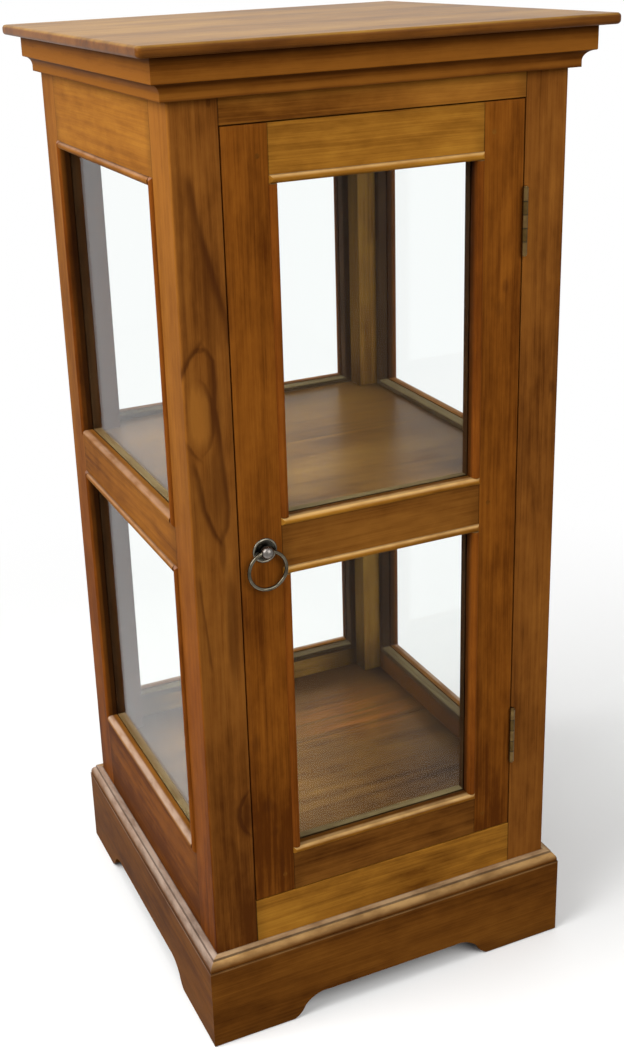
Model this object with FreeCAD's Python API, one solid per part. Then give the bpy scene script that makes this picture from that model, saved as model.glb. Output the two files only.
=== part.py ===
"""Glazed teak display cabinet: posts and rails, cornice, bracket-foot plinth, one door with a ring pull.

Millimetres. +Z is up and the door faces -Y. The origin is on the floor under the middle of the top board.
"""

import FreeCAD, Part
import math
import os

from FreeCAD import Rotation, Vector

# Whole case
total_height = 1000.0
carcass_width = 392.0
carcass_depth = 386.0

# Top board
top_thickness = 10.0
top_overhang = 33.0
top_back_overhang = 17.0
top_edge_radius = 3.5
top_corner_radius = 5.0

# Cornice, planted on the front and the sides
cornice_lip_height = 4.5
cornice_lip_projection = 8.0
cornice_cove_height = 10.5
cornice_fascia_height = 22.0
cornice_fascia_projection = 18.0
cornice_arris_radius = 1.2

# Plinth, planted all round, with ogee bracket feet
plinth_height = 104.0
plinth_thickness = 13.0
plinth_face_height = 92.0
plinth_quirk = 1.0
plinth_band_width = 7.0
plinth_band_drop = 2.0
plinth_edge_radius = 1.5
front_foot_length = 89.0
side_back_foot_length = 68.0
ogee_run = 44.0
arch_height = 25.0
ogee_knee_shares = (0.34, 0.56)
ogee_belly_shares = (0.21, 0.22)
ogee_hollow_shares = (0.58, 0.89)

# Posts and the rails between them
post_size = 45.0
post_edge_radius = 2.2
frame_thickness = 22.0
tenon_thickness = 8.0
tenon_depth_share = 0.36
tenon_shoulder = 7.0
glue_gap = 0.1
front_top_reveal = 23.3
front_bottom_reveal = 48.3
bottom_rail_underside = 60.0
middle_rail_height = 539.0
middle_rail_width = 42.0
arris_radius = 0.9

# Door frame
door_gap = 1.2
door_back_gap = 0.5
door_stile_width = 42.5
door_rail_width = 43.4
peg_radius = 2.4
peg_inset = 10.0
top_peg_drop = 5.2
peg_cover = 4.0

# Panes and the beads that hold them
glass_thickness = 3.0
glass_depth = 9.0
glass_edge_gap = 0.6
bead_width = 8.0
bead_proud = 3.0
inner_bead_radius = 2.0

# Shelf, floor and the cleats under them
shelf_thickness = 15.0
shelf_rise = 2.0
floor_thickness = 18.0
floor_drop = 23.0
board_fit = 0.4
plank_count = 3
cleat_size = 18.0
cleat_end_gap = 1.0
cleat_screw_length = 30.0
cleat_screw_share = 0.3

# Countersunk wood screws
screw_shank_radius = 1.4
screw_head_radius = 2.8
screw_play = 0.05

# Butt hinges
hinge_length = 63.5
hinge_inset = 80.0
hinge_leaf_thickness = 1.2
hinge_leaf_share = 0.8
hinge_leaf_gap = 0.3
hinge_leaf_fit = 0.1
knuckle_radius = 2.8
knuckle_stand = 0.15
knuckle_count = 5
knuckle_play = 0.2
pin_radius = 1.4
pin_play = 0.05
pin_tip_radius = 2.2
pin_tip_height = 1.4
hinge_screw_length = 14.0
hinge_screw_shares = (-0.34, 0.0, 0.34)
hinge_screw_depth_share = 0.6

# Magnetic catch on the left post and its strike plate
catch_height = 720.0
catch_length = 46.0
catch_block_length = 28.0
catch_width = 13.0
catch_depth = 16.0
catch_flange = 2.0
catch_screw_length = 14.0
strike_length = 38.0
strike_width = 11.0
strike_thickness = 1.2

# Ring pull
pull_inset_share = 0.58
rosette_radius = 12.2
rosette_rim_height = 2.6
rosette_dish_height = 1.0
rosette_rim_share = 0.78
pull_shank_radius = 2.0
pull_shank_play = 0.1
ball_radius = 6.4
ball_standoff = 6.0
ring_radius = 19.0
ring_wire_radius = 1.8
ring_play = 0.35
nut_flats = 7.0
nut_thickness = 3.0
nut_pocket_radius = 5.0
nut_pocket_depth = 4.0
shank_end_gap = 0.4

# Past the far side of anything that is cut, and how near two places count as one
overrun = 5.0
same_place = 0.001

# Heights worked out from the sizes above
carcass_top = total_height - top_thickness
cornice_bottom = carcass_top - cornice_fascia_height - cornice_cove_height - cornice_lip_height
opening_top = cornice_bottom - front_top_reveal
opening_bottom = plinth_height + front_bottom_reveal
door_top = opening_top - door_gap
door_bottom = opening_bottom + door_gap
upper_light_top = door_top - door_rail_width
upper_light_bottom = middle_rail_height + middle_rail_width / 2
lower_light_top = middle_rail_height - middle_rail_width / 2
lower_light_bottom = door_bottom + door_rail_width
shelf_top = upper_light_bottom + shelf_rise
floor_top = lower_light_bottom - floor_drop
lights = ((lower_light_bottom, lower_light_top), (upper_light_bottom, upper_light_top))

# Places in plan
top_depth = top_overhang + carcass_depth + top_back_overhang
carcass_front = top_overhang - top_depth / 2
carcass_back = carcass_front + carcass_depth
carcass_middle = (carcass_front + carcass_back) / 2
half_width = carcass_width / 2
half_depth = carcass_depth / 2
opening_half = half_width - post_size
door_half = opening_half - door_gap
door_light_half = door_half - door_stile_width
door_thickness = frame_thickness - door_back_gap

# Each outer face of the case: its turn about Z, the middle of its foot and half its length
faces = {
    "front": (0, Vector(0, carcass_front, 0), half_width),
    "right": (90, Vector(half_width, carcass_middle, 0), half_depth),
    "back": (180, Vector(0, carcass_back, 0), half_width),
    "left": (270, Vector(-half_width, carcass_middle, 0), half_depth),
}
glazed_sides = ("left", "right", "back")

# Heights of the rails between the posts, by face
rail_heights = {
    "front": {"bottom": (bottom_rail_underside, opening_bottom), "top": (opening_top, carcass_top)},
}
for side in glazed_sides:
    rail_heights[side] = {
        "bottom": (bottom_rail_underside, lower_light_bottom),
        "mid": (lower_light_top, upper_light_bottom),
        "top": (upper_light_top, carcass_top),
    }

nodes = {}
case_screws = []


# Shapes on a face are drawn with x along the face, y into the case and z up
def box(x_low, x_high, y_low, y_high, z_low, z_high):
    """Solid box between two limits on each axis."""
    return Part.makeBox(x_high - x_low, y_high - y_low, z_high - z_low, Vector(x_low, y_low, z_low))


def on_face(face, shape):
    """The shape moved from the drawing frame to one outer face of the case."""
    turn, foot, _ = faces[face]
    placed = shape.copy()
    placed.rotate(Vector(), Vector(0, 0, 1), turn)
    placed.translate(foot)
    return placed


def closed_face(start, *steps):
    """Flat face whose edge goes by straight steps (an end) and arc steps (a middle and an end)."""
    edges = []
    here = start
    for step in steps + ((start,),):
        if len(step) == 1:
            edges.append(Part.LineSegment(here, step[0]).toShape())
        else:
            edges.append(Part.Arc(here, step[0], step[1]).toShape())
        here = step[-1]
    return Part.Face(Part.Wire(edges))


def quarter_middle(start, end):
    """Middle of a quarter round that leaves its start upright and meets its end level."""
    return Vector(
        start.x + (end.x - start.x) * (1 - math.cos(math.pi / 4)),
        start.y + (end.y - start.y) * (1 - math.cos(math.pi / 4)),
        start.z + (end.z - start.z) * math.sin(math.pi / 4),
    )


def level_quarter_middle(start, end):
    """Middle of a quarter round that leaves its start level and meets its end upright."""
    return quarter_middle(end, start)


def edges_at(shape, **places):
    """Edges that lie wholly at the given x, y or z."""
    found = []
    for edge in shape.Edges:
        limits = edge.BoundBox
        spans = {
            "x": (limits.XMin, limits.XMax),
            "y": (limits.YMin, limits.YMax),
            "z": (limits.ZMin, limits.ZMax),
        }
        if all(abs(end - place) < same_place for axis, place in places.items() for end in spans[axis]):
            found.append(edge)
    return found


def wood_screw(length, head_depth):
    """Countersunk screw along Z, its flat head at zero and its shank below."""
    head = Part.makeCone(screw_shank_radius, screw_head_radius, head_depth, Vector(0, 0, -head_depth))
    shank = Part.makeCylinder(screw_shank_radius, length - head_depth, Vector(0, 0, -length))
    return head.fuse(shank).removeSplitter()


def screw_hole(length, head_depth):
    """Room for such a screw, open above its head."""
    slack = screw_play
    head = Part.makeCone(
        screw_shank_radius + slack, screw_head_radius + slack, head_depth, Vector(0, 0, -head_depth)
    )
    shank = Part.makeCylinder(screw_shank_radius + slack, length + slack, Vector(0, 0, -length - slack))
    mouth = Part.makeCylinder(screw_head_radius + slack, overrun)
    return head.fuse([shank, mouth])


def aimed(shape, direction, place):
    """A shape drawn along +Z, turned to point along a direction and put at a place."""
    turned = shape.copy()
    rotation = Rotation(Vector(0, 0, 1), direction)
    turned.rotate(Vector(), rotation.Axis, math.degrees(rotation.Angle))
    turned.translate(place)
    return turned


# Posts and rails
def tenon(end, shoulder, length, thickness, low, high, slack):
    """Tenon beyond a shoulder at one end of a rail, or with slack the mortise that takes it."""
    inner = shoulder
    outer = shoulder + length + slack
    near = (thickness - tenon_thickness) / 2 - slack
    far = (thickness + tenon_thickness) / 2 + slack
    z_low = low + tenon_shoulder - slack
    z_high = high - tenon_shoulder + slack
    if end > 0:
        return box(inner, outer, near, far, z_low, z_high)
    return box(-outer, -inner, near, far, z_low, z_high)


def rail(shoulder, length, thickness, low, high):
    """Rail between two uprights with a tenon at each end."""
    body = box(-shoulder, shoulder, 0, thickness, low, high)
    tenons = [tenon(end, shoulder, length, thickness, low, high, 0) for end in (-1, 1)]
    return body.fuse(tenons).removeSplitter()


def mortises(shoulder, length, thickness, low, high):
    """Mortises for both ends of such a rail."""
    return [tenon(end, shoulder, length, thickness, low, high, glue_gap) for end in (-1, 1)]


def case_rails():
    """The eleven rails of the case and the mortises that they need in the posts."""
    length = tenon_depth_share * post_size
    sockets = []
    for face, levels in rail_heights.items():
        shoulder = faces[face][2] - post_size
        for level, (low, high) in levels.items():
            shape = rail(shoulder, length, frame_thickness, low, high)
            if face == "front":
                gap_height = opening_bottom if level == "bottom" else opening_top
                shape = shape.makeFillet(arris_radius, edges_at(shape, y=0, z=gap_height))
            nodes[f"{face}_{level}_rail"] = on_face(face, shape)
            sockets += [on_face(face, cut) for cut in mortises(shoulder, length, frame_thickness, low, high)]
    return sockets


def post(side, end, cuts):
    """One square post, its outer corner rounded; a front post is eased along the door gap too."""
    outer_x = side * half_width
    inner_x = side * opening_half
    outer_y = carcass_front if end == "front" else carcass_back
    inner_y = outer_y + (post_size if end == "front" else -post_size)
    shape = box(*sorted((outer_x, inner_x)), *sorted((outer_y, inner_y)), 0, carcass_top)
    shape = shape.makeFillet(post_edge_radius, edges_at(shape, x=outer_x, y=outer_y))
    if end == "front":
        shape = shape.makeFillet(arris_radius, edges_at(shape, x=inner_x, y=outer_y))
    near = [cut for cut in cuts if cut.BoundBox.intersect(shape.BoundBox)]
    return shape.cut(near)


# Mouldings that run along a face and stand out from it
def moulded_run(section, half_length, reach, low, high, left_mitre, right_mitre):
    """A moulding along a face from its section, mitred (1) or square (0) at each end."""
    start = half_length + reach + overrun
    run = section(-start).extrude(Vector(start + start, 0, 0))
    inner = -overrun
    outer = reach + overrun
    plan = closed_face(
        Vector(-half_length - left_mitre * inner, -inner, low - overrun),
        (Vector(half_length + right_mitre * inner, -inner, low - overrun),),
        (Vector(half_length + right_mitre * outer, -outer, low - overrun),),
        (Vector(-half_length - left_mitre * outer, -outer, low - overrun),),
    )
    return run.common(plan.extrude(Vector(0, 0, high - low + overrun + overrun)))


def cornice_section(x):
    """Lip, cove and fascia of the cornice, in the plane at x."""
    lip_top = cornice_bottom + cornice_lip_height
    cove_top = lip_top + cornice_cove_height
    lip = -cornice_lip_projection
    fascia = -cornice_fascia_projection
    cove_start = Vector(x, lip, lip_top)
    cove_end = Vector(x, fascia + cornice_arris_radius, cove_top)
    arris_end = Vector(x, fascia, cove_top + cornice_arris_radius)
    return closed_face(
        Vector(x, 0, cornice_bottom),
        (Vector(x, lip, cornice_bottom),),
        (cove_start,),
        (quarter_middle(cove_start, cove_end), cove_end),
        (level_quarter_middle(cove_end, arris_end), arris_end),
        (Vector(x, fascia, carcass_top),),
        (Vector(x, 0, carcass_top),),
    )


def cornice():
    """Mitred at the front corners and square where the sides end at the back."""
    for face, left_mitre, right_mitre in (("front", 1, 1), ("left", 0, 1), ("right", 1, 0)):
        run = moulded_run(
            cornice_section,
            faces[face][2],
            cornice_fascia_projection,
            cornice_bottom,
            carcass_top,
            left_mitre,
            right_mitre,
        )
        nodes[f"cornice_{face}"] = on_face(face, run)


def plinth_section(x):
    """Flat face, quirk, rounded nose and flat band of the plinth, in the plane at x."""
    face = -plinth_thickness
    nose_start = Vector(x, face + plinth_quirk, plinth_face_height)
    nose_end = Vector(x, -plinth_band_width, plinth_height - plinth_band_drop)
    edge_start = Vector(x, face + plinth_edge_radius, 0)
    edge_end = Vector(x, face, plinth_edge_radius)
    return closed_face(
        Vector(x, 0, 0),
        (edge_start,),
        (level_quarter_middle(edge_start, edge_end), edge_end),
        (Vector(x, face, plinth_face_height),),
        (nose_start,),
        (quarter_middle(nose_start, nose_end), nose_end),
        (Vector(x, -plinth_band_width, plinth_height),),
        (Vector(x, 0, plinth_height),),
    )


def foot_arch(left_foot, right_foot):
    """The low arch between two bracket feet that end at the given places, with an ogee at each."""
    def at(foot, way, shares):
        return Vector(foot + way * ogee_run * shares[0], overrun, arch_height * shares[1])

    def under(foot):
        return Vector(foot, overrun, -overrun)

    ends_shares = (0, 0)
    crown_shares = (1, 1)
    arch = closed_face(
        under(left_foot),
        (at(left_foot, 1, ends_shares),),
        (at(left_foot, 1, ogee_belly_shares), at(left_foot, 1, ogee_knee_shares)),
        (at(left_foot, 1, ogee_hollow_shares), at(left_foot, 1, crown_shares)),
        (at(right_foot, -1, crown_shares),),
        (at(right_foot, -1, ogee_hollow_shares), at(right_foot, -1, ogee_knee_shares)),
        (at(right_foot, -1, ogee_belly_shares), at(right_foot, -1, ends_shares)),
        (under(right_foot),),
    )
    return arch.extrude(Vector(0, -plinth_thickness - overrun - overrun, 0))


def plinth():
    """Four mitred boards; on the sides the back feet are shorter than the front ones."""
    foot_lengths = {
        "front": (front_foot_length, front_foot_length),
        "right": (front_foot_length, side_back_foot_length),
        "back": (side_back_foot_length, side_back_foot_length),
        "left": (side_back_foot_length, front_foot_length),
    }
    for face, (left_foot, right_foot) in foot_lengths.items():
        half_length = faces[face][2]
        end = half_length + plinth_thickness
        board = moulded_run(plinth_section, half_length, plinth_thickness, 0, plinth_height, 1, 1)
        board = board.cut(foot_arch(left_foot - end, end - right_foot))
        nodes[f"plinth_{face}"] = on_face(face, board)


# Boards
def top_board():
    """The overhanging top with rounded corners and edges."""
    half_top = half_width + top_overhang
    shape = box(-half_top, half_top, -top_depth / 2, top_depth / 2, carcass_top, total_height)
    corners = []
    for x in (-half_top, half_top):
        for y in (-top_depth / 2, top_depth / 2):
            corners += edges_at(shape, x=x, y=y)
    shape = shape.makeFillet(top_corner_radius, corners)
    rims = edges_at(shape, z=carcass_top) + edges_at(shape, z=total_height)
    nodes["top_board"] = shape.makeFillet(top_edge_radius, rims)


def inner_board(top, thickness):
    """Planks across the case, clear of the rails and notched round the posts."""
    margin = frame_thickness + board_fit
    x_end = half_width - margin
    y_front = carcass_front + margin
    y_back = carcass_back - margin
    notch = post_size + board_fit
    corners = []
    for side in (-1, 1):
        for outer_y, way in ((carcass_front, 1), (carcass_back, -1)):
            xs = sorted((side * half_width, side * (half_width - notch)))
            ys = sorted((outer_y, outer_y + way * notch))
            corners.append(box(*xs, *ys, top - thickness - overrun, top + overrun))
    step = (y_back - y_front) / plank_count
    planks = []
    for index in range(plank_count):
        near = y_front + index * step
        plank = box(-x_end, x_end, near, near + step, top - thickness, top)
        planks.append(plank.cut(corners))
    return Part.makeCompound(planks)


def cleats():
    """Square cleats screwed to the rails under the shelf, the floor and the top."""
    bearers = [(face, floor_top - floor_thickness) for face in faces]
    bearers += [(face, shelf_top - shelf_thickness) for face in glazed_sides]
    bearers += [(face, carcass_top) for face in ("left", "right")]
    back = frame_thickness + cleat_size
    head_depth = screw_head_radius - screw_shank_radius
    bars = []
    holes = []
    for face, top in bearers:
        half_length = faces[face][2] - post_size - cleat_end_gap
        cleat = box(-half_length, half_length, frame_thickness, back, top - cleat_size, top)
        for way in (-1, 1):
            place = Vector(way * half_length * 2 * cleat_screw_share, back, top - cleat_size / 2)
            hole = aimed(screw_hole(cleat_screw_length, head_depth), Vector(0, 1, 0), place)
            screw = aimed(wood_screw(cleat_screw_length, head_depth), Vector(0, 1, 0), place)
            cleat = cleat.cut(hole)
            case_screws.append(on_face(face, screw))
            holes.append((face, on_face(face, hole)))
        bars.append(on_face(face, cleat))
    for face, hole in holes:
        for level in rail_heights[face]:
            name = f"{face}_{level}_rail"
            if hole.BoundBox.intersect(nodes[name].BoundBox):
                nodes[name] = nodes[name].cut(hole)
    nodes["board_cleats"] = Part.makeCompound(bars)


# Glazing
def round_opening(strips, half_length, low, high):
    """Four strips, drawn along x with y across and z out, stood up round an opening in turn."""
    beads = []
    corners = ((-half_length, low), (half_length, low), (half_length, high), (-half_length, high))
    for quarter, (strip, (x, z)) in enumerate(zip(strips, corners)):
        strip.rotate(Vector(), Vector(1, 0, 0), 90)
        strip.rotate(Vector(), Vector(0, -1, 0), 90 * quarter)
        strip.translate(Vector(x, 0, z))
        beads.append(strip)
    return beads


def mitred_beads(section, depth, half_length, low, high):
    """Four beads round an opening that meet in mitres."""
    strips = []
    for length in (half_length * 2, high - low) * 2:
        plan = closed_face(
            Vector(0, 0, -overrun),
            (Vector(length, 0, -overrun),),
            (Vector(length - bead_width, bead_width, -overrun),),
            (Vector(bead_width, bead_width, -overrun),),
        )
        strip = section.extrude(Vector(length, 0, 0))
        strips.append(strip.common(plan.extrude(Vector(0, 0, depth + overrun + overrun))))
    return round_opening(strips, half_length, low, high)


def rounded_ends(length, depth):
    """Room for a bead whose two ends are rounded over as its nose is."""
    nose = bead_width / 2
    near_start = Vector(nose, -overrun, depth)
    near_end = Vector(0, -overrun, depth - nose)
    far_start = Vector(length, -overrun, depth - nose)
    far_end = Vector(length - nose, -overrun, depth)
    outline = closed_face(
        Vector(0, -overrun, 0),
        (Vector(length, -overrun, 0),),
        (far_start,),
        (quarter_middle(far_start, far_end), far_end),
        (Vector(length - nose, -overrun, depth + overrun),),
        (Vector(nose, -overrun, depth + overrun),),
        (near_start,),
        (level_quarter_middle(near_start, near_end), near_end),
    )
    return outline.extrude(Vector(0, bead_width + overrun + overrun, 0))


def butted_beads(section, depth, half_length, low, high, level_through):
    """Four beads round an opening: one pair runs through with rounded ends, the other fits between."""
    strips = []
    for quarter, length in enumerate((half_length * 2, high - low) * 2):
        is_level = quarter % 2 == 0
        if is_level == level_through:
            strip = section.extrude(Vector(length, 0, 0)).common(rounded_ends(length, depth))
        else:
            strip = section.extrude(Vector(length - bead_width * 2, 0, 0))
            strip.translate(Vector(bead_width, 0, 0))
        strips.append(strip)
    return round_opening(strips, half_length, low, high)


def outer_bead_section():
    """Square-backed bead with a half-round nose, drawn with y across it and z out of the pane."""
    crown = glass_depth + bead_proud
    nose = bead_width / 2
    return closed_face(
        Vector(0, 0, 0),
        (Vector(0, bead_width, 0),),
        (Vector(0, bead_width, crown - nose),),
        (Vector(0, nose, crown), Vector(0, 0, crown - nose)),
    )


def inner_bead_section(depth):
    """Flat bead with one rounded corner, drawn the same way."""
    round_start = Vector(0, bead_width, depth - inner_bead_radius)
    round_end = Vector(0, bead_width - inner_bead_radius, depth)
    return closed_face(
        Vector(0, 0, 0),
        (Vector(0, bead_width, 0),),
        (round_start,),
        (quarter_middle(round_start, round_end), round_end),
        (Vector(0, 0, depth),),
    )


def glazing(half_length, thickness, level_through):
    """Panes, outer beads and inner beads of the two lights of one frame."""
    panes = []
    outer_beads = []
    inner_beads = []
    pane_back = glass_depth + glass_thickness
    inner_depth = thickness - pane_back
    half_pane = half_length - glass_edge_gap
    for low, high in lights:
        pane_low = low + glass_edge_gap
        pane_high = high - glass_edge_gap
        panes.append(box(-half_pane, half_pane, glass_depth, pane_back, pane_low, pane_high))
        crown = glass_depth + bead_proud
        for bead in butted_beads(outer_bead_section(), crown, half_length, low, high, level_through):
            bead.translate(Vector(0, glass_depth, 0))
            outer_beads.append(bead)
        for bead in mitred_beads(inner_bead_section(inner_depth), inner_depth, half_length, low, high):
            bead.rotate(Vector(), Vector(0, 0, 1), 180)
            bead.translate(Vector(0, pane_back, 0))
            inner_beads.append(bead)
    return panes, Part.makeCompound(outer_beads), Part.makeCompound(inner_beads)


def case_glazing():
    """The six fixed panes and their beads."""
    for face in glazed_sides:
        half_length = faces[face][2] - post_size
        (lower, upper), outer_beads, inner_beads = glazing(half_length, frame_thickness, False)
        nodes[f"{face}_lower_glass"] = on_face(face, lower)
        nodes[f"{face}_upper_glass"] = on_face(face, upper)
        nodes[f"{face}_outer_beads"] = on_face(face, outer_beads)
        nodes[f"{face}_inner_beads"] = on_face(face, inner_beads)


# Hinges, between the right edge of the door and the right post
hinge_axis_x = opening_half - door_gap / 2
hinge_axis_y = -knuckle_radius - knuckle_stand
hinge_leaf_reach = hinge_leaf_share * frame_thickness
hinge_feet = (door_bottom + hinge_inset, door_top - hinge_inset - hinge_length)


def hinge_leaf(side, foot):
    """One leaf with its own knuckles: side 1 is screwed to the post, side -1 to the door."""
    near = hinge_axis_x + side * hinge_leaf_gap / 2
    far = near + side * hinge_leaf_thickness
    xs = sorted((near, far))
    shape = box(*xs, 0, hinge_leaf_reach, foot, foot + hinge_length)
    step = hinge_length / knuckle_count
    own = range(0, knuckle_count, 2) if side > 0 else range(1, knuckle_count, 2)
    pieces = []
    for index in own:
        low = foot + index * step + knuckle_play / 2
        high = foot + (index + 1) * step - knuckle_play / 2
        pieces.append(box(*xs, hinge_axis_y, 0, low, high))
        pieces.append(Part.makeCylinder(knuckle_radius, high - low, Vector(hinge_axis_x, hinge_axis_y, low)))
    shape = shape.fuse(pieces)
    bore = pin_radius if side > 0 else pin_radius + pin_play
    start = Vector(hinge_axis_x, hinge_axis_y, foot - overrun)
    shape = shape.cut(Part.makeCylinder(bore, hinge_length + overrun + overrun, start))
    return shape.removeSplitter()


def leaf_recess(side, foot):
    """Shallow housing for a leaf in the edge of the post or of the door."""
    far = hinge_axis_x + side * (hinge_leaf_gap / 2 + hinge_leaf_thickness)
    xs = sorted((hinge_axis_x, far))
    low = foot - hinge_leaf_fit
    high = foot + hinge_length + hinge_leaf_fit
    return box(*xs, -overrun, hinge_leaf_reach + hinge_leaf_fit, low, high)


def hinge_pin(foot):
    """Pin with a domed tip at each end of the barrel."""
    low = foot + knuckle_play / 2
    high = foot + hinge_length - knuckle_play / 2
    pin = Part.makeCylinder(pin_radius, high - low, Vector(hinge_axis_x, hinge_axis_y, low))
    for place, way in ((low, -1), (high, 1)):
        tip = Part.makeCylinder(pin_tip_radius, pin_tip_height)
        tip = tip.makeFillet(pin_tip_height / 2, edges_at(tip, z=pin_tip_height))
        pin = pin.fuse(aimed(tip, Vector(0, 0, way), Vector(hinge_axis_x, hinge_axis_y, place)))
    return pin.removeSplitter()


def hinge_screw_places(side, foot):
    """Head places of the screws in one leaf."""
    x = hinge_axis_x + side * hinge_leaf_gap / 2
    y = hinge_leaf_reach * hinge_screw_depth_share
    return [Vector(x, y, foot + hinge_length / 2 + share * hinge_length) for share in hinge_screw_shares]


def hinges():
    """Both hinges; returns what they need cut from the post (1) and from the door stile (-1)."""
    cuts = {1: [], -1: []}
    leaves = {1: [], -1: []}
    screws = {1: [], -1: []}
    for side in cuts:
        outward = Vector(-side, 0, 0)
        screw = wood_screw(hinge_screw_length, hinge_leaf_thickness)
        for foot in hinge_feet:
            leaf = hinge_leaf(side, foot)
            cuts[side].append(leaf_recess(side, foot))
            for place in hinge_screw_places(side, foot):
                hole = aimed(screw_hole(hinge_screw_length, hinge_leaf_thickness), outward, place)
                leaf = leaf.cut(hole)
                cuts[side].append(hole)
                screws[side].append(aimed(screw, outward, place))
            leaves[side].append(leaf)
    nodes["hinge_frame_leaves"] = on_face("front", Part.makeCompound(leaves[1]))
    nodes["hinge_door_leaves"] = on_face("front", Part.makeCompound(leaves[-1]))
    nodes["frame_hinge_screws"] = on_face("front", Part.makeCompound(screws[1]))
    nodes["door_hinge_screws"] = on_face("front", Part.makeCompound(screws[-1]))
    nodes["hinge_pins"] = on_face("front", Part.makeCompound([hinge_pin(foot) for foot in hinge_feet]))
    return cuts


# Catch behind the free edge of the door
def catch():
    """Magnet case on the inner side of the left post, held by two screws; returns their holes."""
    wall = -opening_half
    low = catch_height - catch_length / 2
    block_low = catch_height - catch_block_length / 2
    far = frame_thickness + catch_depth
    case = box(wall, wall + catch_flange, frame_thickness, far, low, low + catch_length)
    block = box(wall, wall + catch_width, frame_thickness, far, block_low, block_low + catch_block_length)
    case = case.fuse(block).removeSplitter()
    holes = []
    offset = (catch_length + catch_block_length) / 4
    for way in (-1, 1):
        place = Vector(wall + catch_flange, frame_thickness + catch_depth / 2, catch_height + way * offset)
        hole = aimed(screw_hole(catch_screw_length, catch_flange), Vector(1, 0, 0), place)
        case = case.cut(hole)
        holes.append(on_face("front", hole))
        screw = aimed(wood_screw(catch_screw_length, catch_flange), Vector(1, 0, 0), place)
        case_screws.append(on_face("front", screw))
    nodes["catch_case"] = on_face("front", case)
    return holes


def strike_plate():
    """Steel plate let in flush with the back of the door, where the catch meets it."""
    near = -opening_half + (catch_width - strike_width) / 2 + door_gap
    low = catch_height - strike_length / 2
    front = door_thickness - strike_thickness
    return box(near, near + strike_width, front, door_thickness, low, low + strike_length)


# Ring pull, drawn along +Z out of the door and then aimed at -Y
pull_x = -door_half + pull_inset_share * door_stile_width
nut_back = nut_pocket_depth - door_thickness


def on_pull(shape):
    """A piece of the pull moved to its place on the door."""
    return on_face("front", aimed(shape, Vector(0, -1, 0), Vector(pull_x, 0, middle_rail_height)))


def turned(*points):
    """Solid turned about Z from a half outline of (radius, height) points."""
    outline = [Vector(radius, 0, height) for radius, height in points]
    return Part.Face(Part.makePolygon(outline + outline[:1])).revolve(Vector(), Vector(0, 0, 1), 360)


def rosette():
    """Dished round plate with a rolled rim."""
    hole = pull_shank_radius + pull_shank_play
    rim = rosette_radius * rosette_rim_share
    crest = (rosette_radius + rim) / 2
    plate = turned(
        (hole, 0),
        (rosette_radius, 0),
        (rosette_radius, rosette_dish_height),
        (crest, rosette_rim_height),
        (rim, rosette_dish_height),
        (hole, rosette_dish_height),
    )
    rolled = [edge for edge in edges_at(plate, z=rosette_rim_height) if edge.BoundBox.XMax > rim]
    return plate.makeFillet((rosette_radius - rim) / 2, rolled)


def ring_rise():
    """How far the top of the ring's wire stands above the hole's axis to clear the hole's mouth evenly."""
    mouth = math.sqrt(ball_radius**2 - ring_wire_radius**2)
    drop = ring_radius - math.sqrt(ring_radius**2 - mouth**2)
    lean = math.asin(mouth / ring_radius)
    return (drop + ring_wire_radius / math.cos(lean) - ring_wire_radius) / 2


def pull_post():
    """Shank and ball in one piece: the ball sits flat in the rosette's dish and is pierced for the ring."""
    shank_end = shank_end_gap - door_thickness
    stem = Part.makeCylinder(pull_shank_radius, ball_standoff - shank_end, Vector(0, 0, shank_end))
    ball = Part.makeSphere(ball_radius, Vector(0, 0, ball_standoff))
    reach = ball_radius + overrun
    ball = ball.cut(box(-reach, reach, -reach, reach, rosette_dish_height - reach, rosette_dish_height))
    hole_radius = ring_rise() + ring_wire_radius + ring_play
    length = ball_radius + overrun
    hole = Part.makeCylinder(hole_radius, length + length, Vector(-length, 0, ball_standoff), Vector(1, 0, 0))
    return stem.fuse(ball).removeSplitter().cut(hole)


def pull_nut():
    """Hexagon nut on the shank, sunk into the back of the stile."""
    corner = nut_flats / math.sqrt(3)
    corners = [Vector(corner * math.cos(turn), corner * math.sin(turn), nut_back - nut_thickness)
               for turn in (index * math.pi / 3 for index in range(7))]
    nut = Part.Face(Part.makePolygon(corners)).extrude(Vector(0, 0, nut_thickness))
    hole = pull_shank_radius + screw_play
    return nut.cut(Part.makeCylinder(hole, door_thickness + overrun, Vector(0, 0, -door_thickness - overrun)))


def pull_holes():
    """Through hole for the shank and the nut's pocket in the back of the stile."""
    hole_radius = pull_shank_radius + pull_shank_play
    behind = Vector(0, 0, -door_thickness - overrun)
    through = Part.makeCylinder(hole_radius, door_thickness + overrun + overrun, behind)
    pocket = Part.makeCylinder(nut_pocket_radius, nut_pocket_depth + overrun, behind)
    return aimed(through.fuse(pocket), Vector(0, -1, 0), Vector(pull_x, 0, middle_rail_height))


def ring():
    """Wire ring that hangs in the ball, flat to the door."""
    centre = Vector(pull_x, -ball_standoff, middle_rail_height + ring_rise() - ring_radius)
    return on_face("front", Part.makeTorus(ring_radius, ring_wire_radius, centre, Vector(0, 1, 0)))


def ring_pull():
    """The four pieces of the pull."""
    nodes["handle_rosette"] = on_pull(rosette())
    nodes["handle_post"] = on_pull(pull_post())
    nodes["handle_nut"] = on_pull(pull_nut())
    nodes["handle_ring"] = ring()


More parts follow.
